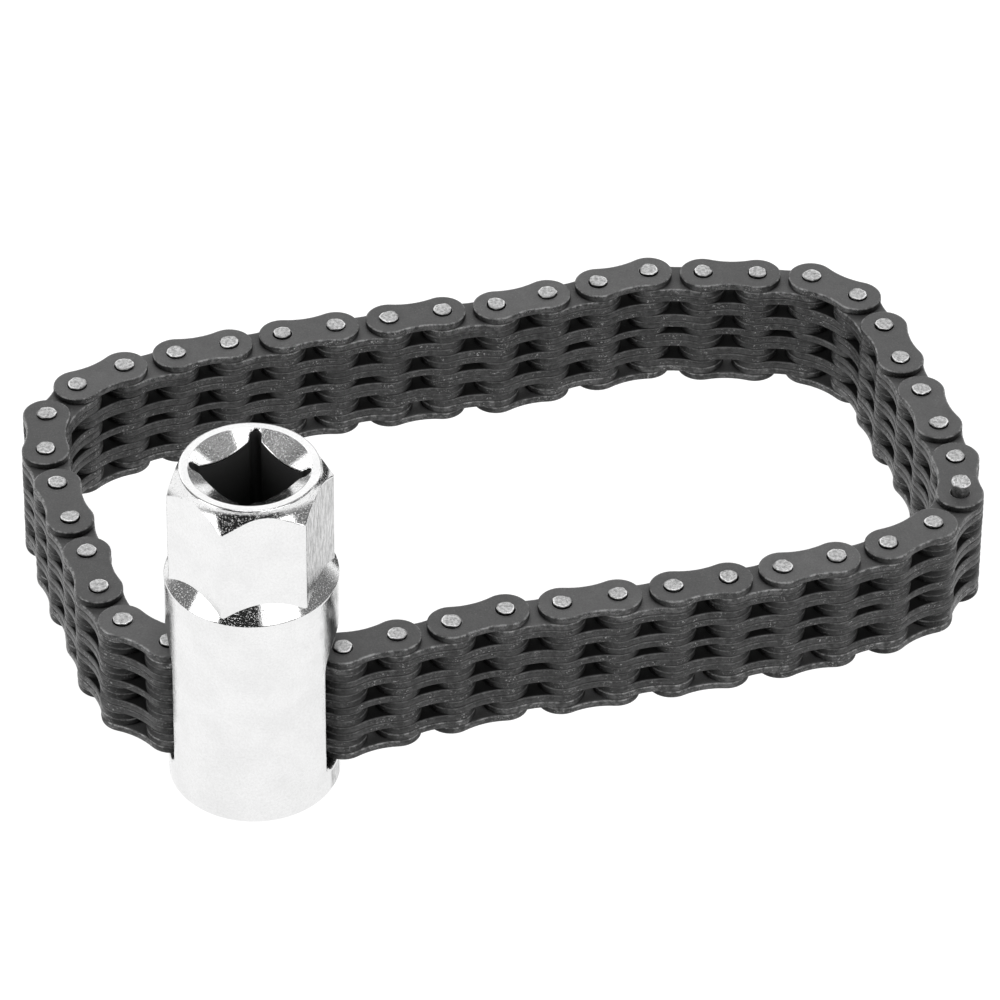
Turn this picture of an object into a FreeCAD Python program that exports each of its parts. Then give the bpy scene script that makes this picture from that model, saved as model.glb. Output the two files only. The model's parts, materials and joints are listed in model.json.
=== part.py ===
import FreeCAD
import Part
import math
import os

# Chain oil filter wrench: a chrome socket with an endless leaf chain through its slot.
# The chain loop is tightened round a filter by turning the socket. Lengths are in mm,
# angles in degrees. The origin is the centre of the socket's flat base, +Z runs up
# the socket's axis to the square drive, and X runs along the slot.

Vector = FreeCAD.Vector
UP = Vector(0, 0, 1)

# Chain
PITCH = 9.525
PLATE_THICKNESS = 1.35
PLATE_GAP = 0.05
PLATE_END_RADIUS = 4.14
PLATE_WAIST_HALF = 3.45
OUTER_LAYERS = (0, 3, 4, 7, 10, 11, 14)
INNER_LAYERS = (1, 2, 5, 6, 8, 9, 12, 13)
PIN_RADIUS = 1.65
PIN_PROUD = 0.50
PIN_EDGE_ROUND = 0.30
RUNNING_CLEARANCE = 0.03

# Connecting pin, which closes the loop and pulls out upwards
CONNECTING_PIN_RADIUS = 1.30
CONNECTING_HOLE_RADIUS = 1.60
CONNECTING_PIN_PROUD = 2.90
CONNECTING_PIN_INDEX = 29
PEENED_END_RADIUS = 1.64
PEENED_END_HEIGHT = 0.70
PEENED_NECK_HEIGHT = 0.60
PEENED_END_ROUND = 0.30

# Rest shape of the loop. The list is the turn at each pin of half the loop, clockwise
# seen from above, and adds up to 180. The other half repeats it, so the loop closes.
HALF_LOOP_TURNS = (29, 29, 12, -5, 4, 1, 13, 32, 25, 12, 5,
                   1, 2, 1, 0, 3, -10, 0, 0, 22, 0, 4)
PIN_COUNT = 2 * len(HALF_LOOP_TURNS)
SLOT_LINK_YAW = 3.0
SLOT_LINK_OFFSET_X = 0.5
SLOT_LINK_OFFSET_Y = -0.5

# Socket
BODY_RADIUS = 14.35
BODY_HEIGHT = 42.7
BASE_ROUND = 1.6
SHOULDER_ANGLE = 50.0
SHOULDER_TOP_RADIUS = 11.0
HEX_ACROSS_FLATS = 24.0
HEX_CORNER_ANGLE = 16.0
SOCKET_HEIGHT = 64.5
CHAMFER_TOP_RADIUS = 11.5
CHAMFER_FOOT_RADIUS = 14.0
CHAMFER_FOOT_HEIGHT = 60.4
CHAMFER_HOLLOW = 0.35
SEAM_ANGLE = 45.0

# Rounding of the socket's edges
RIM_ROUND = 0.4
HEX_EDGE_ROUND = 0.8
HEX_CHAMFER_ROUND = 0.5
TOP_EDGE_ROUND = 0.3
SLOT_MOUTH_ROUND = 0.7
DRIVE_EDGE_ROUND = 0.2
EDGE_TOLERANCE = 0.01

# Square drive hole, with a corner on the X axis
DRIVE_SQUARE = 12.8
DRIVE_DEPTH = 18.0
DRIVE_CORNER_RADIUS = 0.95
DRIVE_CORNER_BLEND = 1.0
DRIVE_CORNER_REACH = 9.9
COUNTERSINK_RADIUS = 10.1
COUNTERSINK_ANGLE = 30.0
PILOT_RADIUS = 6.4
PILOT_EXTRA_DEPTH = 1.5

# Slot through the socket
SLOT_WIDTH = 11.8
SLOT_FLOOR = 5.75
SLOT_TOP = 33.0
SLOT_CORNER_RADIUS = 1.2
CHAIN_SEAT_GAP = 0.05

LAYER_STEP = PLATE_THICKNESS + PLATE_GAP
LAYER_COUNT = len(OUTER_LAYERS) + len(INNER_LAYERS)
CHAIN_BOTTOM = SLOT_FLOOR + CHAIN_SEAT_GAP + PIN_PROUD
CHAIN_TOP = CHAIN_BOTTOM + LAYER_COUNT * LAYER_STEP - PLATE_GAP


def polar(radius, degrees):
    angle = math.radians(degrees)
    return Vector(radius * math.cos(angle), radius * math.sin(angle), 0)


def loop_links():
    """Return one (pin position, heading) for each link; link k runs from pin k to pin k + 1."""
    turns = HALF_LOOP_TURNS * 2
    slot_link = PIN_COUNT - 2
    heading = 180 + SLOT_LINK_YAW
    position = Vector(SLOT_LINK_OFFSET_X, SLOT_LINK_OFFSET_Y, 0) - polar(PITCH / 2, heading)
    links = {}
    for step in range(PIN_COUNT):
        index = (slot_link + step) % PIN_COUNT
        links[index] = (position, heading)
        position = position + polar(PITCH, heading)
        heading = heading - turns[(index + 1) % PIN_COUNT]
    return [links[index] for index in range(PIN_COUNT)]


def plate_outline():
    """Return the figure-eight wire of a plate, with its pins at x = 0 and x = PITCH."""
    half = PITCH / 2
    end, waist = PLATE_END_RADIUS, PLATE_WAIST_HALF
    flank = (half ** 2 + waist ** 2 - end ** 2) / (2 * (end - waist))
    lean = math.degrees(math.atan2(waist + flank, half))
    tangent = polar(end, lean)
    left_top = tangent
    left_bottom = Vector(tangent.x, -tangent.y, 0)
    right_top = Vector(PITCH - tangent.x, tangent.y, 0)
    right_bottom = Vector(PITCH - tangent.x, -tangent.y, 0)
    arcs = [
        Part.Arc(left_top, Vector(-end, 0, 0), left_bottom),
        Part.Arc(left_bottom, Vector(half, -waist, 0), right_bottom),
        Part.Arc(right_bottom, Vector(PITCH + end, 0, 0), right_top),
        Part.Arc(right_top, Vector(half, waist, 0), left_top),
    ]
    return Part.Wire([arc.toShape() for arc in arcs])


def make_plate(layer, hole_radii):
    """Return one plate in a layer of the stack, with a hole at each of its two pins."""
    plate = Part.Face(plate_outline()).extrude(UP * PLATE_THICKNESS)
    for x, radius in zip((0, PITCH), hole_radii):
        hole = Part.makeCylinder(radius, 3 * PLATE_THICKNESS, Vector(x, 0, -PLATE_THICKNESS))
        plate = plate.cut(hole)
    plate.translate(Vector(0, 0, CHAIN_BOTTOM + layer * LAYER_STEP))
    return plate


def make_rivet_pin(x):
    """Return a pin riveted through a link, with rounded ends that stand proud of the plates."""
    length = CHAIN_TOP - CHAIN_BOTTOM + 2 * PIN_PROUD
    pin = Part.makeCylinder(PIN_RADIUS, length, Vector(x, 0, CHAIN_BOTTOM - PIN_PROUD))
    rims = [edge for edge in pin.Edges if edge.isClosed()]
    return pin.makeFillet(PIN_EDGE_ROUND, rims)


def place_link(solids, link):
    position, heading = link
    shape = Part.makeCompound(solids)
    shape.rotate(Vector(0, 0, 0), UP, heading)
    shape.translate(position)
    return shape


def make_outer_link(index, link):
    """Return an outer link: seven plates and the pins that are riveted in them."""
    pins = [index, index + 1]
    radii = [CONNECTING_HOLE_RADIUS if pin == CONNECTING_PIN_INDEX else PIN_RADIUS for pin in pins]
    solids = [make_plate(layer, radii) for layer in OUTER_LAYERS]
    for x, pin in zip((0, PITCH), pins):
        if pin != CONNECTING_PIN_INDEX:
            solids.append(make_rivet_pin(x))
    return place_link(solids, link)


def make_inner_link(index, link):
    """Return an inner link: eight plates that turn on the pins of the links beside it."""
    running = PIN_RADIUS + RUNNING_CLEARANCE
    pins = [index, index + 1]
    radii = [CONNECTING_HOLE_RADIUS if pin == CONNECTING_PIN_INDEX else running for pin in pins]
    solids = [make_plate(layer, radii) for layer in INNER_LAYERS]
    return place_link(solids, link)


def make_connecting_pin(position):
    """Return the loose pin that closes the loop, its peened upper end well above the plates."""
    top = CHAIN_TOP + CONNECTING_PIN_PROUD
    head_foot = top - PEENED_END_HEIGHT
    edges = outline_edges([(0, top), (0, CHAIN_BOTTOM - PIN_PROUD),
                           (CONNECTING_PIN_RADIUS, CHAIN_BOTTOM - PIN_PROUD),
                           (CONNECTING_PIN_RADIUS, head_foot - PEENED_NECK_HEIGHT),
                           (PEENED_END_RADIUS, head_foot), (PEENED_END_RADIUS, top), (0, top)])
    pin = revolve_outline(edges)
    rims = circles_at(pin, top, PEENED_END_RADIUS)
    rims += circles_at(pin, CHAIN_BOTTOM - PIN_PROUD, CONNECTING_PIN_RADIUS)
    pin = pin.makeFillet(PEENED_END_ROUND, rims)
    pin.translate(position)
    return pin


def revolve_outline(edges):
    """Return the turned solid of an outline, its seam turned away from the slot's mouths."""
    solid = Part.Face(Part.Wire(edges)).revolve(Vector(0, 0, 0), UP, 360)
    solid.rotate(Vector(0, 0, 0), UP, SEAM_ANGLE)
    return solid


def circles_at(shape, height, radius):
    """Return the full circles of a shape that are centred on the Z axis."""
    return [edge for edge in shape.Edges if edge.isClosed()
            and abs(edge.CenterOfMass.z - height) < EDGE_TOLERANCE
            and abs(edge.Length - 2 * math.pi * radius) < EDGE_TOLERANCE]


def outline_edges(points):
    """Return straight edges through (radius, height) points."""
    corners = [Vector(radius, 0, height) for radius, height in points]
    return [Part.makeLine(start, end) for start, end in zip(corners, corners[1:])]


def quarter_round(centre_radius, centre_height, radius, start_angle):
    """Return a quarter circle in the XZ plane, from start_angle to start_angle + 90."""
    points = []
    for angle in (start_angle, start_angle + 45, start_angle + 90):
        offset = polar(radius, angle)
        points.append(Vector(centre_radius + offset.x, 0, centre_height + offset.y))
    return Part.Arc(*points).toShape()


def make_body():
    """Return the round lower body, with a rounded base edge and a conical shoulder."""
    rise = (BODY_RADIUS - SHOULDER_TOP_RADIUS) * math.tan(math.radians(SHOULDER_ANGLE))
    top = BODY_HEIGHT + rise
    edges = outline_edges([(0, top), (0, 0), (BODY_RADIUS - BASE_ROUND, 0)])
    edges.append(quarter_round(BODY_RADIUS - BASE_ROUND, BASE_ROUND, BASE_ROUND, -90))
    edges += outline_edges([(BODY_RADIUS, BASE_ROUND), (BODY_RADIUS, BODY_HEIGHT),
                            (SHOULDER_TOP_RADIUS, top), (0, top)])
    body = revolve_outline(edges)
    return body.makeFillet(RIM_ROUND, circles_at(body, BODY_HEIGHT, BODY_RADIUS))


def make_hexagon():
    """Return the plain hexagonal prism of the head, with rounded upright edges."""
    corner_radius = HEX_ACROSS_FLATS / math.sqrt(3)
    height = SOCKET_HEIGHT - BODY_HEIGHT
    corners = [polar(corner_radius, HEX_CORNER_ANGLE + 60 * side) for side in range(7)]
    prism = Part.Face(Part.makePolygon(corners)).extrude(UP * height)
    upright = [edge for edge in prism.Edges if edge.BoundBox.ZLength > height / 2]
    prism = prism.makeFillet(HEX_EDGE_ROUND, upright)
    prism.translate(UP * BODY_HEIGHT)
    return prism


def make_hexagon_head():
    """Return the hexagon with a slightly hollow turned chamfer round its top, its edges rounded."""
    top = Vector(CHAMFER_TOP_RADIUS, 0, SOCKET_HEIGHT)
    foot = Vector(CHAMFER_FOOT_RADIUS, 0, CHAMFER_FOOT_HEIGHT)
    inward = (top - foot).cross(Vector(0, 1, 0)).normalize()
    middle = (top + foot) / 2 + inward * CHAMFER_HOLLOW
    edges = [Part.Arc(foot, middle, top).toShape()]
    edges += outline_edges([(top.x, top.z), (0, SOCKET_HEIGHT), (0, BODY_HEIGHT),
                            (foot.x, BODY_HEIGHT), (foot.x, foot.z)])
    head = make_hexagon().common(revolve_outline(edges))
    head = head.makeFillet(TOP_EDGE_ROUND, circles_at(head, SOCKET_HEIGHT, CHAMFER_TOP_RADIUS))
    chamfer_edges = [edge for edge in head.Edges
                     if CHAMFER_FOOT_HEIGHT < edge.BoundBox.ZMin < edge.BoundBox.ZMax < SOCKET_HEIGHT
                     and max(edge.BoundBox.XLength, edge.BoundBox.YLength) > edge.BoundBox.ZLength
                     and not edge.isClosed()]
    return head.makeFillet(HEX_CHAMFER_ROUND, chamfer_edges)


def make_drive_hole():
    """Return the tool shape of the square drive hole, its countersink and its pilot hole."""
    floor = SOCKET_HEIGHT - DRIVE_DEPTH
    square = Part.makeBox(DRIVE_SQUARE, DRIVE_SQUARE, DRIVE_DEPTH,
                          Vector(-DRIVE_SQUARE / 2, -DRIVE_SQUARE / 2, floor))
    square.rotate(Vector(0, 0, 0), UP, 45)
    reliefs = []
    for quarter in range(4):
        centre = polar(DRIVE_CORNER_REACH - DRIVE_CORNER_RADIUS, 90 * quarter) + UP * floor
        reliefs.append(Part.makeCylinder(DRIVE_CORNER_RADIUS, DRIVE_DEPTH, centre))
    square = square.fuse(reliefs).removeSplitter()
    neck_reach = DRIVE_CORNER_REACH - DRIVE_CORNER_RADIUS
    necks = [edge for edge in square.Edges if edge.BoundBox.ZLength > DRIVE_DEPTH / 2
             and math.hypot(edge.CenterOfMass.x, edge.CenterOfMass.y) < neck_reach]
    square = square.makeFillet(DRIVE_CORNER_BLEND, necks)
    pieces = []
    sink_depth = COUNTERSINK_RADIUS * math.tan(math.radians(COUNTERSINK_ANGLE))
    sink_foot = UP * (SOCKET_HEIGHT - sink_depth)
    pieces.append(Part.makeCone(0, COUNTERSINK_RADIUS, sink_depth, sink_foot))
    pilot_depth = DRIVE_DEPTH + PILOT_EXTRA_DEPTH
    pieces.append(Part.makeCylinder(PILOT_RADIUS, pilot_depth, UP * (SOCKET_HEIGHT - pilot_depth)))
    return square.fuse(pieces)


def make_slot():
    """Return the tool shape of the slot: an upright window with a full round at the top."""
    half = SLOT_WIDTH / 2
    corner = SLOT_CORNER_RADIUS
    length = 3 * BODY_RADIUS
    window = Part.makeBox(length, SLOT_WIDTH, SLOT_TOP - half - SLOT_FLOOR,
                          Vector(-length / 2, -half, SLOT_FLOOR))
    foot_edges = [edge for edge in window.Edges if abs(edge.CenterOfMass.z - SLOT_FLOOR) < 0.01
                  and edge.Length > SLOT_WIDTH * 2]
    window = window.makeFillet(corner, foot_edges)
    crown = Part.makeCylinder(half, length, Vector(-length / 2, 0, SLOT_TOP - half), Vector(1, 0, 0))
    return window.fuse(crown)


def is_slot_mouth(edge):
    """Tell whether an edge runs round one of the slot's two mouths, on the body's outside."""
    box = edge.BoundBox
    mouth_reach = math.sqrt(BODY_RADIUS ** 2 - SLOT_WIDTH ** 2 / 4)
    in_height = SLOT_FLOOR - EDGE_TOLERANCE < box.ZMin and box.ZMax < SLOT_TOP + EDGE_TOLERANCE
    outside = abs(edge.CenterOfMass.x) > mouth_reach - EDGE_TOLERANCE
    return in_height and outside and box.XLength < BODY_RADIUS - mouth_reach + EDGE_TOLERANCE


def is_drive_edge(edge):
    """Tell whether an edge is where the countersink meets a wall of the square hole."""
    centre = edge.CenterOfMass
    reach = math.hypot(centre.x, centre.y)
    sink_slope = math.tan(math.radians(COUNTERSINK_ANGLE))
    lowest = SOCKET_HEIGHT - (COUNTERSINK_RADIUS - DRIVE_SQUARE / 2) * sink_slope - EDGE_TOLERANCE
    in_countersink = lowest < edge.BoundBox.ZMin < SOCKET_HEIGHT
    return in_countersink and DRIVE_SQUARE / 2 < reach < COUNTERSINK_RADIUS


def make_socket():
    """Return the one-piece socket."""
    socket = make_body().fuse(make_hexagon_head())
    socket = socket.cut(make_drive_hole())
    socket = socket.cut(make_slot()).removeSplitter()
    socket = socket.makeFillet(SLOT_MOUTH_ROUND, [e for e in socket.Edges if is_slot_mouth(e)])
    socket = socket.makeFillet(DRIVE_EDGE_ROUND, circles_at(socket, SOCKET_HEIGHT, COUNTERSINK_RADIUS))
    socket = socket.makeFillet(DRIVE_EDGE_ROUND, [e for e in socket.Edges if is_drive_edge(e)])
    return socket.Solids[0]


def make_nodes():
    """Return every node's shape by name."""
    nodes = {"socket": make_socket()}
    for index, link in enumerate(loop_links()):
        number = index // 2 + 1
        if index % 2 == 0:
            nodes["outer_link_%02d" % number] = make_outer_link(index, link)
        else:
            nodes["inner_link_%02d" % number] = make_inner_link(index, link)
        if index == CONNECTING_PIN_INDEX:
            nodes["connecting_pin"] = make_connecting_pin(link[0])
    return nodes


os.makedirs("parts", exist_ok=True)
for name, shape in make_nodes().items():
    shape.exportStep("parts/%s.step" % name)
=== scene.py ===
import json
import math
import random

import bpy
from mathutils import Matrix, Vector
from mathutils.geometry import tessellate_polygon

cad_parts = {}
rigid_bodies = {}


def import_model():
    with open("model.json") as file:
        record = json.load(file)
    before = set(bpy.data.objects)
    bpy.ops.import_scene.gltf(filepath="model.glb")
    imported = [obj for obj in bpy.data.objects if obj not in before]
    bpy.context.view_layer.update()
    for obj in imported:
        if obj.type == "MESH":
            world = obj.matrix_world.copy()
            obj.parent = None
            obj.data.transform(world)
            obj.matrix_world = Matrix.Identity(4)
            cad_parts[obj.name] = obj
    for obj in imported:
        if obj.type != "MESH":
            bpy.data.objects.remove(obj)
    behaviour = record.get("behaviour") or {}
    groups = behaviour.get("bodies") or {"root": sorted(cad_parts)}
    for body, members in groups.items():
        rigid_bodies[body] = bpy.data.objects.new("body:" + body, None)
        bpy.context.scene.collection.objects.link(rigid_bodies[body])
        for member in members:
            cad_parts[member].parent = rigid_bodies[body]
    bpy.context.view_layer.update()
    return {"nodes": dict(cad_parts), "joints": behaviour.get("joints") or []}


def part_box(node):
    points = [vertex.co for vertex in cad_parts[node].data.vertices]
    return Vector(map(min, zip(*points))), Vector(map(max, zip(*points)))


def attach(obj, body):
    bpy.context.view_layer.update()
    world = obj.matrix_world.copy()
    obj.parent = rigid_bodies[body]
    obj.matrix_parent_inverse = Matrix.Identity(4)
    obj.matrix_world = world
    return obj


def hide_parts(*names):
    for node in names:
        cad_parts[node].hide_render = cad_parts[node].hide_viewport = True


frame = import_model()

# Looks of the chain oil filter wrench. The socket is the CAD part with a chrome finish. Each chain
# link is rebuilt round its two pins, plate by plate, with rolled edges and peened rivet heads.
# Lengths are in metres and angles in degrees, unless a comment says otherwise.

MM = 0.001
UP = Vector((0, 0, 1))

# Layers of leaf plates, counted from the bottom one, and the gap between two layers
OUTER_LAYERS = (0, 3, 4, 7, 10, 11, 14)
INNER_LAYERS = (1, 2, 5, 6, 8, 9, 12, 13)
PLATE_GAP = 0.05 * MM

# Stamped plates lie a little off true: how far one may be shifted and turned
PLATE_SHIFT = 0.03 * MM
PLATE_SWING = 0.25
CHAIN_SEED = 7

# Outline of a plate: two round ends joined by hollow flanks
END_RADIUS = 4.09 * MM
WAIST_HALF = 3.40 * MM
END_SEGMENTS = 26
FLANK_SEGMENTS = 8

# Holes of a plate: the rivets fill theirs, and the connecting pin, which is thinner, is loose in its own
PIN_RADIUS = 1.65 * MM
LOOSE_HOLE_RADIUS = 1.60 * MM
HOLE_SEGMENTS = 24

# Edge of a plate, and of its holes, from the lower face to the upper one: inset from the outline and
# height in millimetres, and how worn the surface is there. The first rings are measured from the
# lower face and the others, which have heights of zero or less, from the upper one.
PLATE_EDGE = ((0.50, 0.0, 0.0), (0.22, 0.02, 0.0), (0.07, 0.12, 0.3), (0.03, 0.32, 0.1), (0.0, 0.55, 0.2),
              (0.0, -0.30, 0.2), (0.03, -0.13, 0.9), (0.11, -0.04, 1.0), (0.24, 0.0, 0.4), (0.38, 0.0, 0.0))
EDGE_RINGS_BELOW = 5
HOLE_EDGE = ((0.22, 0.0, 0.0), (0.08, 0.0, 0.3), (0.0, 0.08, 0.0), (0.0, -0.10, 0.0),
             (0.10, 0.0, 0.8), (0.24, 0.0, 0.0))
HOLE_RINGS_BELOW = 3

# Painted shade on the plates, from 0 for none to 1 for the darkest, standing for the shade in the chain's
# gaps and recesses:
# on their ends, close to the next link's, and how fast that sets in past the pin; on the upper rim there,
# as a share of the end;
# on the rings by the groove under a plate; and on faces that another plate covers, whose rims are worn less
END_DIM = 0.86
END_DIM_ONSET = 1.2
RIM_DIM = 0.4
GROOVE_DIMS = (1.0, 1.0, 0.6)
COVERED_DIM = 1.0
COVERED_WEAR = 0.3

# Rivet head: distance from the axis as a share of the pin's radius, height as a share of its proud end, and
# how bright the steel is there, low at the head's foot as painted shade under it. Rings brighter than 1 are
# a burr, burnished and painted brighter as a highlight, brightest on one side.
RIVET_HEAD = ((0.98, 0.00, 0.2), (0.98, 0.30, 0.3), (0.99, 0.55, 0.4), (1.00, 0.76, 0.8), (0.97, 0.90, 1.8),
              (0.90, 0.96, 1.5), (0.80, 0.98, 0.9), (0.52, 1.00, 0.9), (0.26, 1.00, 0.9))
RIVET_SEGMENTS = 40
RIVET_PROUD = 0.50 * MM
BURR_HIGHLIGHT_BASE = 0.7

# How uneven the heads are, as shares of their size: ragged outline, dents, slope, lowest and highest
# size, and the height of the summit
HEAD_RAGGED = 0.065
HEAD_DENTS = 0.12
HEAD_SLOPE = 0.10
HEAD_SIZES = (0.93, 1.0)
HEAD_SUMMIT = 0.90

# Connecting pin from its foot up: radius and height above the foot (or below the top, if negative)
# in millimetres, and how bright the steel is there. It leans by so much sideways for its height.
PEENED_PIN = ((1.10, 0.0, 0.6), (1.40, 0.12, 0.6), (1.49, 0.40, 0.5), (1.49, -2.60, 0.5),
              (1.49, -1.40, 0.6), (1.51, -1.00, 0.7), (1.57, -0.70, 0.9), (1.63, -0.42, 1.5),
              (1.60, -0.20, 1.6), (1.46, -0.08, 1.2), (1.10, -0.05, 0.9), (0.60, -0.03, 1.0))
PEENED_PIN_LEAN = (0.003, -0.006)
PEENED_PIN_SEED = 11

# Its peened end: the least brightness of a peened ring, how ragged and dented these rings are, how
# much of that the other rings have, and how far the middle lies below the top
PEENED_BRIGHTNESS = 0.8
PEENED_PIN_RAGGED = 0.05
PEENED_PIN_DENTS = 0.10
SHANK_SHARE = 0.15
PEENED_PIN_DISH = 0.05 * MM

# Countersink round the socket's square hole
COUNTERSINK_RADIUS = 10.1 * MM
COUNTERSINK_ANGLE = 30

# The flat of the hexagon that is painted darker with streaks, as a painted reflection: the way it faces
REFLECTION_DARKENED_FLAT = (0.970, -0.242, 0.0)

# Camera. Its lens is in millimetres.
CAMERA_TARGET = Vector((36.97, 49.86, 20.0)) * MM
CAMERA_DISTANCE = 1217.8 * MM
CAMERA_AZIMUTH = -3.96
CAMERA_ELEVATION = 38.93
CAMERA_ROLL = 0.61
CAMERA_LENS = 257.9

# White floor: half its width, how light it is and how strongly it glows
FLOOR_HALF_WIDTH = 3.0
FLOOR_GREY = 0.22
FLOOR_GLOW = 0.95

# The room: its light at the floor and on the walls, how much stronger the ceiling is, the light round
# the camera and below it, and the way to the middle of that dark side
ROOM_AT_FLOOR = 0.5
ROOM_WALLS = 0.22
ROOM_CEILING_GAIN = 1.7
ROOM_DARK = 0.03
DARK_SIDE = (0.0, -0.90, 0.43)

# Softboxes: name, direction from the object, width, height and radiance
SOFTBOX_DISTANCE = 1.1
SOFTBOXES = (("left_box", (-0.76, -0.49, 0.42), 0.60, 0.70, 2.6),
             ("right_box", (0.58, -0.65, 0.48), 0.82, 0.60, 2.2),
             ("top_box", (0.0, 0.02, 1.0), 0.45, 0.45, 3.0),
             ("back_box", (-0.05, 0.78, 0.63), 1.00, 0.70, 0.98),
             ("back_left_box", (-0.60, 0.64, 0.48), 0.50, 0.60, 1.4),
             ("back_right_box", (0.60, 0.64, 0.48), 0.50, 0.60, 1.4))


# Shader nodes

def node(tree, kind, inputs=None, **settings):
    """Add a shader node, set its options, and set or link its inputs."""
    made = tree.nodes.new("ShaderNode" + kind)
    for name, value in settings.items():
        setattr(made, name, value)
    for name, value in (inputs or {}).items():
        if isinstance(value, bpy.types.NodeSocket):
            tree.links.new(value, made.inputs[name])
        else:
            made.inputs[name].default_value = value
    return made


def math_node(tree, operation, first, second=0.0, clamp=False):
    """Return the output of a Math node."""
    made = node(tree, "Math", {0: first, 1: second}, operation=operation, use_clamp=clamp)
    return made.outputs[0]


def times(tree, *values):
    """Return the product of two or more values."""
    product = values[0]
    for value in values[1:]:
        product = math_node(tree, "MULTIPLY", product, value)
    return product


def noise(tree, coords, scale, detail=4.0, roughness=0.55):
    """Return a noise value between 0 and 1, with about scale bumps a metre."""
    made = node(tree, "TexNoise", {"Vector": coords, "Scale": scale, "Detail": detail,
                                   "Roughness": roughness})
    return made.outputs["Fac"]


def stretched(tree, coords, scale):
    """Return coordinates multiplied by scale along each axis."""
    return node(tree, "Mapping", {"Vector": coords, "Scale": scale}).outputs[0]


def ramp(tree, value, low, high, to_low=0.0, to_high=1.0):
    """Return value mapped smoothly from low..high to to_low..to_high."""
    made = node(tree, "MapRange", {"Value": value, "From Min": low, "From Max": high,
                                   "To Min": to_low, "To Max": to_high},
                interpolation_type="SMOOTHSTEP")
    return made.outputs["Result"]


def blend(tree, factor, first, second):
    """Return the value first blended into second by factor."""
    return node(tree, "Mix", {0: factor, 2: first, 3: second}).outputs[0]


def blend_colour(tree, factor, first, second):
    """Return the colour first blended into second by factor."""
    made = node(tree, "Mix", data_type="RGBA")
    for index, value in ((0, factor), (6, first), (7, second)):
        if isinstance(value, bpy.types.NodeSocket):
            tree.links.new(value, made.inputs[index])
        else:
            made.inputs[index].default_value = value
    return made.outputs[2]


def grey(level):
    """Return a grey colour."""
    return (level, level, level, 1.0)


def grey_node(tree, level):
    """Return a grey colour made from a node's value."""
    return node(tree, "CombineColor", {0: level, 1: level, 2: level}).outputs[0]


def attribute(tree, name):
    """Return a value that the mesh stores at each point."""
    return node(tree, "Attribute", attribute_name=name).outputs["Fac"]


def surface_normal(tree):
    """Return the way the surface faces."""
    return node(tree, "NewGeometry").outputs["Normal"]


def height_of(tree, vector):
    """Return a vector's Z value."""
    return node(tree, "SeparateXYZ", {0: vector}).outputs["Z"]


def agreement(tree, way, target):
    """Return how well a direction agrees with a given one: 1 if they are the same."""
    return node(tree, "VectorMath", {0: way, 1: target}, operation="DOT_PRODUCT").outputs["Value"]


def set_bump(tree, shader, height, strength, distance):
    """Shade the surface as if it rose by height times distance."""
    bump = node(tree, "Bump", {"Strength": strength, "Distance": distance, "Height": height})
    tree.links.new(bump.outputs["Normal"], shader.inputs["Normal"])


def new_material(name):
    """Return a material, its node tree, its shader and its object coordinates."""
    material = bpy.data.materials.new(name)
    material.use_nodes = True
    tree = material.node_tree
    coords = node(tree, "TexCoord").outputs["Object"]
    return material, tree, tree.nodes["Principled BSDF"], coords


# Black oxide

def oxide_lightness(tree, flat_noises, side_noises, side, dim):
    """Return the oxide's lightness: cloudy flats, and streaked sides painted much darker as shade on
    upright faces; both darker where the mesh holds painted shade.
    """
    cloud, grain = flat_noises
    streaks, blotches = side_noises
    flat = times(tree, ramp(tree, cloud, 0.25, 0.75, 0.104, 0.136),
                 ramp(tree, attribute(tree, "tone"), 0.0, 1.0, 0.86, 1.12),
                 ramp(tree, grain, 0.2, 0.8, 0.82, 1.20))
    # Upright sides: real streaks of the sheared edge, and painted shade that makes them far darker than the
    # flats
    side_streaks_and_shade = times(tree, flat, ramp(tree, streaks, 0.34, 0.66, 0.04, 0.28),
                     ramp(tree, blotches, 0.3, 0.7, 0.75, 1.25))
    return times(tree, blend(tree, side, flat, side_streaks_and_shade), ramp(tree, dim, 0.0, 1.0, 1.0, 0.12))


def oxide_bareness(tree, coords, grain, side, dim):
    """Return where bare steel shows: patches of the worn rims, and specks, most of them on the sides."""
    patches = ramp(tree, noise(tree, coords, 900.0, 4.0, 0.65), 0.42, 0.60, 0.12, 0.90)
    rims = times(tree, attribute(tree, "worn"), patches, ramp(tree, grain, 0.3, 0.6, 0.5, 1.3))
    specks = ramp(tree, noise(tree, coords, 3300.0, 2.0, 0.6), 0.60, 0.66)
    spread = ramp(tree, noise(tree, coords, 420.0, 2.0), 0.40, 0.65)
    specks = times(tree, specks, spread, ramp(tree, side, 0.0, 1.0, 0.25, 0.9))
    bare = math_node(tree, "MAXIMUM", rims, specks, clamp=True)
    return times(tree, bare, ramp(tree, dim, 0.0, 0.8, 1.0, 0.2))


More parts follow.
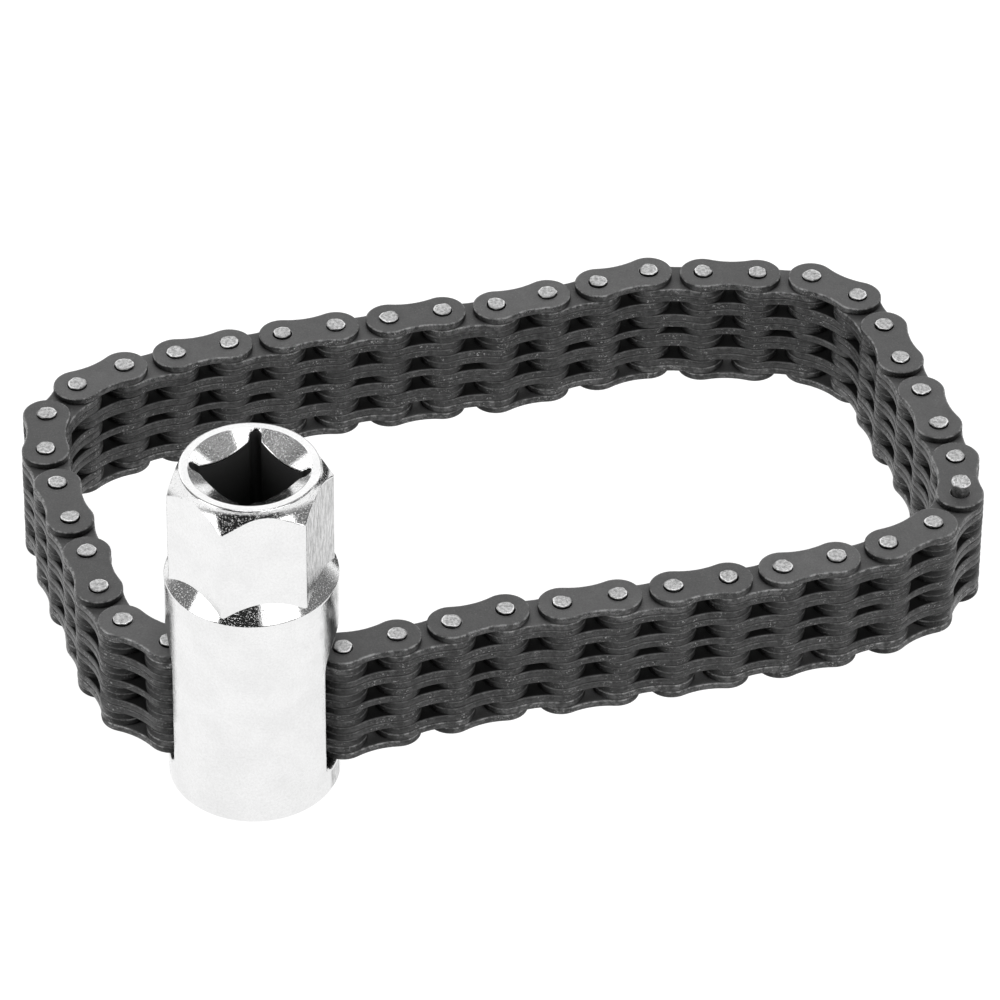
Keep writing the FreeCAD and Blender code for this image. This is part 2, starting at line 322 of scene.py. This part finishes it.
def make_black_oxide():
    """Oiled black oxide on stamped plates: satin flats, streaked sheared edges painted darker as shade,
    worn rims and specks, and painted shade where the mesh holds it.
    """
    material, tree, shader, coords = new_material("oxide_finish")
    # Painted shade that the mesh holds: plate ends by the next link, grooves under plates, and covered
    # faces
    dim = attribute(tree, "dim")
    upright = math_node(tree, "ABSOLUTE", height_of(tree, surface_normal(tree)))
    side = ramp(tree, upright, 0.75, 0.35)
    cloud = noise(tree, coords, 260.0, 5.0)
    grain = noise(tree, coords, 3400.0, 3.0, 0.7)
    streaks = noise(tree, stretched(tree, coords, (0.6, 0.6, 1.0)), 3600.0, 3.0, 0.75)
    blotches = noise(tree, coords, 1300.0, 3.0, 0.6)

    level = oxide_lightness(tree, (cloud, grain), (streaks, blotches), side, dim)
    bare = oxide_bareness(tree, coords, grain, side, dim)
    colour = blend_colour(tree, bare, grey_node(tree, level), grey(0.40))
    tree.links.new(colour, shader.inputs["Base Color"])
    rough = blend(tree, side, ramp(tree, cloud, 0.3, 0.7, 0.40, 0.52), 0.34)
    rough = blend(tree, dim, rough, 0.80)
    tree.links.new(rough, shader.inputs["Roughness"])
    tree.links.new(times(tree, bare, 0.7), shader.inputs["Metallic"])
    shader.inputs["Specular IOR Level"].default_value = 0.3

    side_height = times(tree, math_node(tree, "ADD", streaks, blotches), side)
    height = math_node(tree, "ADD", times(tree, grain, 0.35), side_height)
    set_bump(tree, shader, height, 0.35, 0.025 * MM)
    return material


# Bare steel

def make_bright_steel():
    """Bare peened steel: mottled, dented, with darker pits; darker where the mesh holds a low value, as
    painted shade at the foot of a rivet head, and brighter where it holds a high one, as a painted
    highlight on a head's rim.
    """
    material, tree, shader, coords = new_material("steel_finish")
    mottle = noise(tree, coords, 1700.0, 5.0, 0.7)
    fine = noise(tree, coords, 6500.0, 3.0, 0.7)
    pits = ramp(tree, noise(tree, coords, 2600.0, 2.0, 0.5), 0.38, 0.30)
    level = times(tree, ramp(tree, mottle, 0.35, 0.65, 0.34, 0.76),
                  ramp(tree, fine, 0.25, 0.75, 0.88, 1.12),
                  ramp(tree, pits, 0.0, 1.0, 1.0, 0.45),
                  ramp(tree, attribute(tree, "worn"), 0.0, 2.0, 0.06, 2.0))
    level = math_node(tree, "MINIMUM", level, 0.95)
    tree.links.new(grey_node(tree, level), shader.inputs["Base Color"])
    tree.links.new(ramp(tree, mottle, 0.3, 0.7, 0.30, 0.50), shader.inputs["Roughness"])
    shader.inputs["Metallic"].default_value = 1.0
    height = math_node(tree, "ADD", mottle, times(tree, fine, 0.2))
    set_bump(tree, shader, height, 0.6, 0.08 * MM)
    return material


# Chrome

def deep_inside(tree, coords, top):
    """Return where the socket's surface lies below its countersink: in the square hole and the slot."""
    place = node(tree, "SeparateXYZ", {0: coords})
    across = node(tree, "CombineXYZ", {0: place.outputs["X"], 1: place.outputs["Y"]}).outputs[0]
    reach = node(tree, "VectorMath", {0: across}, operation="LENGTH").outputs["Value"]
    slope = math.tan(math.radians(COUNTERSINK_ANGLE))
    foot = top - COUNTERSINK_RADIUS * slope
    cone = node(tree, "Math", {0: reach, 1: slope, 2: foot}, operation="MULTIPLY_ADD").outputs[0]
    below = math_node(tree, "SUBTRACT", cone, place.outputs["Z"])
    inside = math_node(tree, "LESS_THAN", reach, COUNTERSINK_RADIUS - 0.1 * MM)
    return times(tree, ramp(tree, below, 0.12 * MM, 0.5 * MM), inside)


def chrome_lightness(tree, noises, turned, painted_reflection_flat):
    """Return the chrome's lightness: darker in the pits of turned faces, and darker with streaks on one
    flat as a painted reflection.
    """
    cloud, grain, scratches, speckle = noises
    painted_reflection = blend(tree, painted_reflection_flat, 1.0, ramp(tree, scratches, 0.38, 0.60, 0.28, 0.80))
    pits = times(tree, ramp(tree, speckle, 0.40, 0.34), turned)
    return times(tree, ramp(tree, cloud, 0.3, 0.7, 0.76, 0.81), ramp(tree, grain, 0.2, 0.8, 0.94, 1.05),
                 painted_reflection, ramp(tree, pits, 0.0, 1.0, 1.0, 0.45))


def chrome_height(tree, coords, grain, scratches, speckle, turned):
    """Return the chrome's bumps: patchy upright scratches, and raised speckles on turned faces."""
    patches = ramp(tree, noise(tree, coords, 300.0, 3.0, 0.6), 0.35, 0.65, 0.35, 1.0)
    ground = math_node(tree, "ADD", times(tree, scratches, patches), times(tree, grain, 0.6))
    raised = ramp(tree, speckle, 0.60, 0.70, 0.0, 0.8)
    machined = math_node(tree, "ADD", raised, times(tree, grain, 0.35))
    return blend(tree, turned, ground, machined)


def make_chrome(top):
    """Chrome plate with a faint grain. The turned slopes are speckled, one flat of the hexagon is painted
    darker with streaks as a painted reflection, and the insides of the square hole and the slot are dull
    dark steel."""
    material, tree, shader, coords = new_material("chrome_finish")
    cloud = noise(tree, coords, 160.0, 4.0)
    grain = noise(tree, coords, 2600.0, 4.0, 0.7)
    scratches = noise(tree, stretched(tree, coords, (1.0, 1.0, 0.12)), 3400.0, 4.0, 0.75)
    speckle = noise(tree, coords, 4200.0, 2.0, 0.6)

    facing = surface_normal(tree)
    upward = height_of(tree, facing)
    turned = times(tree, ramp(tree, upward, 0.2, 0.35), ramp(tree, upward, 0.99, 0.95))
    # Painted reflection: one flat of the hexagon is darkened with streaks
    painted_reflection_flat = ramp(tree, agreement(tree, facing, REFLECTION_DARKENED_FLAT), 0.985, 0.995)
    deep = deep_inside(tree, coords, top)

    level = chrome_lightness(tree, (cloud, grain, scratches, speckle), turned, painted_reflection_flat)
    colour = blend_colour(tree, deep, grey_node(tree, level), grey(0.15))
    tree.links.new(colour, shader.inputs["Base Color"])
    rough = blend(tree, deep, ramp(tree, cloud, 0.3, 0.7, 0.05, 0.10), 0.6)
    tree.links.new(rough, shader.inputs["Roughness"])
    shader.inputs["Metallic"].default_value = 1.0
    height = chrome_height(tree, coords, grain, scratches, speckle, turned)
    set_bump(tree, shader, height, 0.5, 0.06 * MM)
    return material


# Meshes

class MeshParts:
    """Vertices, faces and per-vertex values that grow into one mesh."""

    def __init__(self):
        self.points = []
        self.faces = []
        self.values = {"worn": [], "tone": [], "dim": []}

    def add_ring(self, points, **values):
        """Add a ring of points. Each of its values is one number for all points, or a list."""
        start = len(self.points)
        self.points.extend(points)
        for label, stored in self.values.items():
            value = values.get(label, 0.0)
            stored.extend(value if isinstance(value, list) else [value] * len(points))
        return list(range(start, start + len(points)))

    def join_rings(self, lower, upper):
        """Join two rings of the same length by faces that look outwards if the rings run anticlockwise."""
        count = len(lower)
        for i in range(count):
            j = (i + 1) % count
            self.faces.append((lower[i], lower[j], upper[j], upper[i]))

    def close_tip(self, ring, tip, upwards):
        """Fill a ring with a fan of triangles round its tip."""
        for i in range(len(ring)):
            j = (i + 1) % len(ring)
            self.faces.append((ring[i], ring[j], tip) if upwards else (ring[j], ring[i], tip))

    def make_object(self, name, material):
        """Return a smooth object made of all the faces."""
        mesh = bpy.data.meshes.new(name)
        mesh.from_pydata(self.points, [], self.faces)
        for label, values in self.values.items():
            mesh.attributes.new(label, "FLOAT", "POINT").data.foreach_set("value", values)
        mesh.shade_smooth()
        mesh.materials.append(material)
        made = bpy.data.objects.new(name, mesh)
        bpy.context.scene.collection.objects.link(made)
        return made


def finish_piece(parts, name, material, body):
    """Make a piece for the CAD node of a link: hide the node, and let the piece move with its body."""
    piece = parts.make_object(name, material)
    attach(piece, body)
    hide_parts(body)


def outward_at(angle):
    """Return the unit vector at an angle in radians."""
    return Vector((math.cos(angle), math.sin(angle)))


def arc(centre, radius, start, end, segments):
    """Return points along an arc, without its last point. Its angles are in radians."""
    angles = [start + (end - start) * i / segments for i in range(segments)]
    return [centre + radius * outward_at(angle) for angle in angles]


def circle(centre, radius, segments):
    """Return points round a circle."""
    return arc(centre, radius, 0, 2 * math.pi, segments)


def turn_angles(segments):
    """Return the angles of evenly spaced points round a circle, in radians."""
    return [2 * math.pi * i / segments for i in range(segments)]


def wavy(rng, strength):
    """Return a gentle random function of angle, made of a few waves."""
    waves = []
    for count in (2, 3, 4, 6, 9):
        size = rng.uniform(0.4, 1) * strength / math.sqrt(count)
        waves.append((count, size, rng.uniform(0, 2 * math.pi)))
    return lambda angle: sum(size * math.sin(count * angle + phase) for count, size, phase in waves)


# Plates

def plate_outline(pitch, inset):
    """Return a plate's outline, anticlockwise, with its pins at (0, 0) and (pitch, 0)."""
    half = pitch / 2
    flank_radius = (half ** 2 + WAIST_HALF ** 2 - END_RADIUS ** 2) / (2 * (END_RADIUS - WAIST_HALF))
    flank_centre = WAIST_HALF + flank_radius
    lean = math.atan2(flank_centre, half)
    quarter = math.pi / 2
    gap = quarter - lean
    end = END_RADIUS - inset
    flank = flank_radius + inset
    points = arc(Vector((0, 0)), end, lean, 2 * math.pi - lean, END_SEGMENTS)
    points += arc(Vector((half, -flank_centre)), flank, quarter + gap, quarter - gap, FLANK_SEGMENTS)
    points += arc(Vector((pitch, 0)), end, lean - math.pi, math.pi - lean, END_SEGMENTS)
    points += arc(Vector((half, flank_centre)), flank, gap - quarter, -gap - quarter, FLANK_SEGMENTS)
    return points


class Placement:
    """Where a plate lies: its first pin's place, the way to the second, and its lower face's height."""

    def __init__(self, origin, along, base):
        self.origin = origin
        self.along = along
        self.across = Vector((-along.y, along.x))
        self.base = base

    def lift(self, points, height):
        """Return points of the plate, at a height above its lower face, in the frame's coordinates."""
        flat = [self.origin + self.along * p.x + self.across * p.y for p in points]
        return [p.to_3d() + UP * (self.base + height) for p in flat]


def place_plate(start, end, base, rng):
    """Return a plate's placement between two pins, a little off true."""
    along = (end - start).normalized()
    shift = Vector((rng.uniform(-1, 1), rng.uniform(-1, 1))) * PLATE_SHIFT
    swing = math.radians(rng.uniform(-1, 1) * PLATE_SWING)
    turned = Vector((along.x * math.cos(swing) - along.y * math.sin(swing),
                     along.x * math.sin(swing) + along.y * math.cos(swing)))
    middle = (start + end) / 2 + shift
    return Placement(middle - turned * (end - start).length / 2, turned, base)


class PlateKit:
    """Adds leaf plates to a mesh. Plates with holes of the same sizes share their caps' triangles."""

    def __init__(self, pitch, thickness):
        self.pins = (Vector((0, 0)), Vector((pitch, 0)))
        self.pitch = pitch
        self.thickness = thickness
        self.caps = {}

    def add_plate(self, parts, place, hole_radii, tone, covered):
        """Add one plate: its edge, its holes, and the upper and lower caps between them."""
        edge = self.add_edge(parts, place, tone, covered)
        holes = [self.add_hole(parts, place, pin, radius, tone, covered)
                 for pin, radius in zip(self.pins, hole_radii)]
        for upwards, step in ((True, -1), (False, 0)):
            index = edge[step] + holes[0][step] + holes[1][step]
            for triangle in self.cap_triangles(hole_radii, upwards):
                parts.faces.append(tuple(index[corner] for corner in triangle))

    def add_edge(self, parts, place, tone, covered):
        """Add the outer edge. Returns its rings, the lowest one first."""
        rings = []
        for step, (inset, height, worn) in enumerate(PLATE_EDGE):
            outline = plate_outline(self.pitch, inset * MM)
            level = self.ring_level(height, step >= EDGE_RINGS_BELOW)
            wear = worn * (COVERED_WEAR if covered else 1.0)
            dims = self.edge_dims(step, outline, covered)
            rings.append(parts.add_ring(place.lift(outline, level), worn=wear, tone=tone, dim=dims))
        for lower, upper in zip(rings, rings[1:]):
            parts.join_rings(lower, upper)
        return rings

    def add_hole(self, parts, place, pin, radius, tone, covered):
        """Add the wall of a hole. Returns its rings, the lowest one first."""
        # A covered plate's holes get painted shade too
        dim = COVERED_DIM if covered else 0.0
        rings = []
        for step, (inset, height, worn) in enumerate(HOLE_EDGE):
            points = circle(pin, radius + inset * MM, HOLE_SEGMENTS)
            level = self.ring_level(height, step >= HOLE_RINGS_BELOW)
            rings.append(parts.add_ring(place.lift(points, level), worn=worn, tone=tone, dim=dim))
        for lower, upper in zip(rings, rings[1:]):
            parts.join_rings(upper, lower)
        return rings

    def ring_level(self, height, is_upper):
        """Return a ring's height above the lower face. height is in millimetres, from either face."""
        return (self.thickness if is_upper else 0) + height * MM

    def edge_dims(self, step, outline, covered):
        """Return how much painted shade a ring of the edge gets, as one number or one for each point."""
        if step < len(GROOVE_DIMS):
            return GROOVE_DIMS[step]
        if step == len(PLATE_EDGE) - 1:
            return COVERED_DIM if covered else 0.0
        dims = [self.end_dim(point) for point in outline]
        if step > EDGE_RINGS_BELOW:
            return [dim * RIM_DIM for dim in dims]
        return dims

    def end_dim(self, point):
        """Return how much painted shade a point of the outline gets, which grows past the pins towards the
        ends.
        """
        beyond = max(-point.x, point.x - self.pitch, 0.0) / END_RADIUS
        return END_DIM * min(1.0, beyond * END_DIM_ONSET)

    def cap_triangles(self, hole_radii, upwards):
        """Return a cap's triangles, as places in the list of its outline's points and then its holes'."""
        key = (hole_radii, upwards)
        if key not in self.caps:
            step = -1 if upwards else 0
            loops = [plate_outline(self.pitch, PLATE_EDGE[step][0] * MM)]
            for pin, radius in zip(self.pins, hole_radii):
                loops.append(circle(pin, radius + HOLE_EDGE[step][0] * MM, HOLE_SEGMENTS))
            loops = [[point.to_3d() for point in loop] for loop in loops]
            points = [point for loop in loops for point in loop]
            self.caps[key] = [self.turn_triangle(points, triangle, upwards)
                              for triangle in tessellate_polygon(loops)]
        return self.caps[key]

    def turn_triangle(self, points, triangle, upwards):
        """Return a triangle with its corners in the order that makes it look up or down."""
        a, b, c = triangle
        looks_up = (points[b] - points[a]).cross(points[c] - points[a]).z > 0
        return (a, b, c) if looks_up == upwards else (a, c, b)


# Rivets and connecting pin

class RivetHead:
    """The random shape of one peened head."""

    def __init__(self, rng):
        self.outline = wavy(rng, HEAD_RAGGED)
        self.dents = wavy(rng, HEAD_DENTS)
        self.slope = Vector((rng.uniform(-1, 1), rng.uniform(-1, 1))) * HEAD_SLOPE
        self.burr_highlight = rng.uniform(0, 2 * math.pi)
        self.size = rng.uniform(*HEAD_SIZES)
        self.tone = rng.random()

    def radius(self, angle, share, height):
        """Return the distance from the axis. The outline gets ragged with height."""
        return PIN_RADIUS * share * self.size * (1 + self.outline(angle) * min(1, height * 2))

    def rise(self, angle, share, height):
        """Return the height above the plate, as a share of the proud end."""
        dent = abs(self.dents(angle)) * (1 - share)
        lift = height * (HEAD_SUMMIT - dent + self.slope.dot(outward_at(angle)) * share)
        return min(lift, 1.0)

    def brightness(self, angle, bright):
        """Return how bright the steel is. A ring on the burr carries a painted highlight, brightest on one
        side.
        """
        if bright <= 1:
            return bright
        on_burr_highlight = 0.5 + 0.5 * math.cos(angle - self.burr_highlight)
        return BURR_HIGHLIGHT_BASE + (bright - BURR_HIGHLIGHT_BASE) * on_burr_highlight


def add_rivet_end(parts, rng, centre, face_height, direction):
    """Add one peened head, up or down from a plate's face. Returns the ring where it meets the shank."""
    head = RivetHead(rng)
    rings = []
    for share, height, bright in RIVET_HEAD:
        points = []
        brights = []
        for angle in turn_angles(RIVET_SEGMENTS):
            flat = centre + outward_at(angle) * head.radius(angle, share, height)
            level = face_height + direction * RIVET_PROUD * head.rise(angle, share, height)
            points.append(flat.to_3d() + UP * level)
            brights.append(head.brightness(angle, bright))
        rings.append(parts.add_ring(points, worn=brights, tone=head.tone))
    for near, far in zip(rings, rings[1:]):
        lower, upper = (near, far) if direction > 0 else (far, near)
        parts.join_rings(lower, upper)
    summit = centre.to_3d() + UP * (face_height + direction * RIVET_PROUD * HEAD_SUMMIT)
    tip = parts.add_ring([summit], worn=RIVET_HEAD[-1][2], tone=head.tone)[0]
    parts.close_tip(rings[-1], tip, direction > 0)
    return rings[0]


def make_connecting_pin(steel):
    """Rebuild the connecting pin with a ragged peened end, leaning a little in its holes."""
    low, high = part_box("connecting_pin")
    centre = (low + high) / 2
    lean = Vector(PEENED_PIN_LEAN)
    outline = wavy(random.Random(PEENED_PIN_SEED), PEENED_PIN_RAGGED)

    def axis_at(level):
        return centre.to_2d() + lean * (level - centre.z)

    parts = MeshParts()
    rings = []
    for radius, height, bright in PEENED_PIN:
        from_top = height < 0
        level = (high.z if from_top else low.z) + height * MM
        ragged = 1.0 if from_top and bright >= PEENED_BRIGHTNESS else SHANK_SHARE
        depth = ragged * PEENED_PIN_DENTS * MM * radius if from_top else 0.0
        points = []
        for angle in turn_angles(RIVET_SEGMENTS):
            spread = radius * MM * (1 + ragged * outline(angle))
            dent = depth * abs(math.sin(2 * angle + 1.0))
            points.append((axis_at(level) + outward_at(angle) * spread).to_3d() + UP * (level - dent))
        rings.append(parts.add_ring(points, worn=bright, tone=0.5))
    for lower, upper in zip(rings, rings[1:]):
        parts.join_rings(lower, upper)
    summit = axis_at(high.z).to_3d() + UP * (high.z - PEENED_PIN_DISH)
    foot = axis_at(low.z).to_3d() + UP * low.z
    parts.close_tip(rings[-1], parts.add_ring([summit], worn=1.0, tone=0.5)[0], True)
    parts.close_tip(rings[0], parts.add_ring([foot], worn=0.5, tone=0.5)[0], False)
    finish_piece(parts, "connecting_pin_peened", steel, "connecting_pin")


# Chain, placed by the frame

def connecting_pin_place():
    """Return the connecting pin's place, seen from above."""
    low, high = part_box("connecting_pin")
    return ((low + high) / 2).to_2d()


def link_pins(joints):
    """Return each link's two pin places, from the hinges that join it to its neighbours."""
    places = {}
    for joint in joints:
        if joint["type"] == "hinge":
            for body in (joint["parent"], joint["child"]):
                places.setdefault(body, []).append(Vector(joint["pos_m"][:2]))
    for pins in places.values():
        if len(pins) == 1:
            pins.append(connecting_pin_place())
    return places


class Chain:
    """Builds the links. layer is the height of a plate and its gap, base and top those of the stack."""

    def __init__(self, joints, oxide, steel):
        low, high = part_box("inner_link_01")
        self.layer = (high.z - low.z + PLATE_GAP) / (INNER_LAYERS[-1] - INNER_LAYERS[0] + 1)
        self.base = low.z - self.layer * INNER_LAYERS[0]
        self.top = self.base + self.layer * (OUTER_LAYERS[-1] + 1) - PLATE_GAP
        self.loose = connecting_pin_place()
        self.places = link_pins(joints)
        start, end = self.places["outer_link_22"]
        self.kit = PlateKit((start - end).length, self.layer - PLATE_GAP)
        self.rng = random.Random(CHAIN_SEED)
        self.oxide = oxide
        self.steel = steel

    def make_links(self):
        """Build every link's plates, and the outer links' rivets."""
        for body in sorted(self.places):
            if body.startswith("outer"):
                self.make_plates(body, OUTER_LAYERS)
                self.make_rivets(body)
            elif body.startswith("inner"):
                self.make_plates(body, INNER_LAYERS)

    def is_loose(self, pin):
        """Return whether a pin is the connecting pin."""
        return (pin - self.loose).length < MM

    def make_plates(self, body, layers):
        """Build a link's plates. All but the two lowest and two highest layers count as covered."""
        start, end = self.places[body]
        radii = tuple(LOOSE_HOLE_RADIUS if self.is_loose(p) else PIN_RADIUS for p in (start, end))
        plates = MeshParts()
        for index in layers:
            place = place_plate(start, end, self.base + self.layer * index, self.rng)
            covered = 1 < index < OUTER_LAYERS[-1] - 1
            self.kit.add_plate(plates, place, radii, self.rng.random(), covered)
        finish_piece(plates, body + "_plates", self.oxide, body)

    def make_rivets(self, body):
        """Build an outer link's rivets. The connecting pin isn't one of them."""
        rivets = MeshParts()
        for pin in self.places[body]:
            if not self.is_loose(pin):
                bottom_ring = add_rivet_end(rivets, self.rng, pin, self.base, -1)
                top_ring = add_rivet_end(rivets, self.rng, pin, self.top, 1)
                rivets.join_rings(bottom_ring, top_ring)
        finish_piece(rivets, body + "_rivets", self.steel, body)


# Scene

def make_camera():
    """Add the camera, aimed by azimuth and elevation and rolled a little."""
    azimuth = math.radians(CAMERA_AZIMUTH)
    elevation = math.radians(CAMERA_ELEVATION)
    roll = math.radians(CAMERA_ROLL)
    forward = Vector((math.sin(azimuth) * math.cos(elevation), math.cos(azimuth) * math.cos(elevation),
                      -math.sin(elevation)))
    right = forward.cross(UP).normalized()
    above = right.cross(forward)
    right, above = (math.cos(roll) * right + math.sin(roll) * above,
                    math.cos(roll) * above - math.sin(roll) * right)
    data = bpy.data.cameras.new("camera")
    data.lens = CAMERA_LENS
    data.clip_end = 100
    camera = bpy.data.objects.new("camera", data)
    turn = Matrix((right, above, -forward)).transposed().to_4x4()
    camera.matrix_world = Matrix.Translation(CAMERA_TARGET - forward * CAMERA_DISTANCE) @ turn
    bpy.context.scene.collection.objects.link(camera)
    bpy.context.scene.camera = camera


def make_floor():
    """Add a plain white floor."""
    mesh = bpy.data.meshes.new("floor")
    half = FLOOR_HALF_WIDTH
    corners = [(-half, -half, 0), (half, -half, 0), (half, half, 0), (-half, half, 0)]
    mesh.from_pydata(corners, [], [(0, 1, 2, 3)])
    material = bpy.data.materials.new("floor")
    material.use_nodes = True
    shader = material.node_tree.nodes["Principled BSDF"]
    shader.inputs["Base Color"].default_value = grey(FLOOR_GREY)
    shader.inputs["Roughness"].default_value = 0.9
    shader.inputs["Emission Color"].default_value = grey(1.0)
    shader.inputs["Emission Strength"].default_value = FLOOR_GLOW
    mesh.materials.append(material)
    floor = bpy.data.objects.new("floor", mesh)
    bpy.context.scene.collection.objects.link(floor)


def make_world():
    """Surround the scene with a grey room: paler at the floor and overhead, dark round the camera."""
    world = bpy.data.worlds.new("studio")
    world.use_nodes = True
    bpy.context.scene.world = world
    tree = world.node_tree
    way = node(tree, "TexCoord").outputs["Generated"]
    rise = height_of(tree, way)
    walls = ramp(tree, rise, 0.04, 0.12, ROOM_AT_FLOOR, ROOM_WALLS)
    walls = times(tree, walls, ramp(tree, rise, 0.55, 0.85, 1.0, ROOM_CEILING_GAIN))
    dark = ramp(tree, agreement(tree, way, DARK_SIDE), 0.45, 0.75)
    background = tree.nodes["Background"]
    tree.links.new(blend(tree, dark, walls, ROOM_DARK), background.inputs["Strength"])
    background.inputs["Color"].default_value = grey(1.0)


def make_softbox(name, way, width, height, radiance):
    """Add a rectangular area light that faces the object from a direction."""
    way = Vector(way).normalized()
    data = bpy.data.lights.new(name, "AREA")
    data.shape = "RECTANGLE"
    data.size = width
    data.size_y = height
    data.energy = radiance * math.pi * width * height
    light = bpy.data.objects.new(name, data)
    light.rotation_euler = (-way).to_track_quat("-Z", "Y").to_euler()
    light.location = CAMERA_TARGET + way * SOFTBOX_DISTANCE
    bpy.context.scene.collection.objects.link(light)


make_camera()
make_floor()
make_world()
for box in SOFTBOXES:
    make_softbox(*box)

chrome = make_chrome(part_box("socket")[1].z)
steel = make_bright_steel()
socket_mesh = frame["nodes"]["socket"].data
socket_mesh.materials.clear()
socket_mesh.materials.append(chrome)
Chain(frame["joints"], make_black_oxide(), steel).make_links()
make_connecting_pin(steel)

bpy.context.scene.view_settings.view_transform = "Standard"
